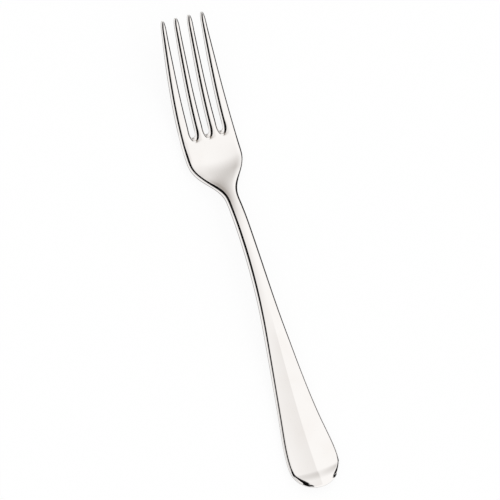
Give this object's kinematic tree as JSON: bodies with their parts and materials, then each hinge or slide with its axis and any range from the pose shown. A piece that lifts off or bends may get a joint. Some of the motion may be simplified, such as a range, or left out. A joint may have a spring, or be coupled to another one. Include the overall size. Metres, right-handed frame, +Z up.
{
  "type": "serving fork",
  "caption": "Polished steel serving fork in one piece, with long slim tines, round shoulders, an arched neck and a flared handle with a soft ridge along its top.",
  "frame": {"origin": "on the table, under the middle of the fork's box", "axes": "+X to the fork's right seen from above with the tips away, +Y along the fork towards the tips, +Z up, the side that food lies on"},
  "size_m": [0.0304, 0.2442, 0.0173],
  "materials": {
    "polished_steel": "polished"
  },
  "bodies": {
    "root": {"serving_fork": "polished_steel"}
  },
  "joints": []
}
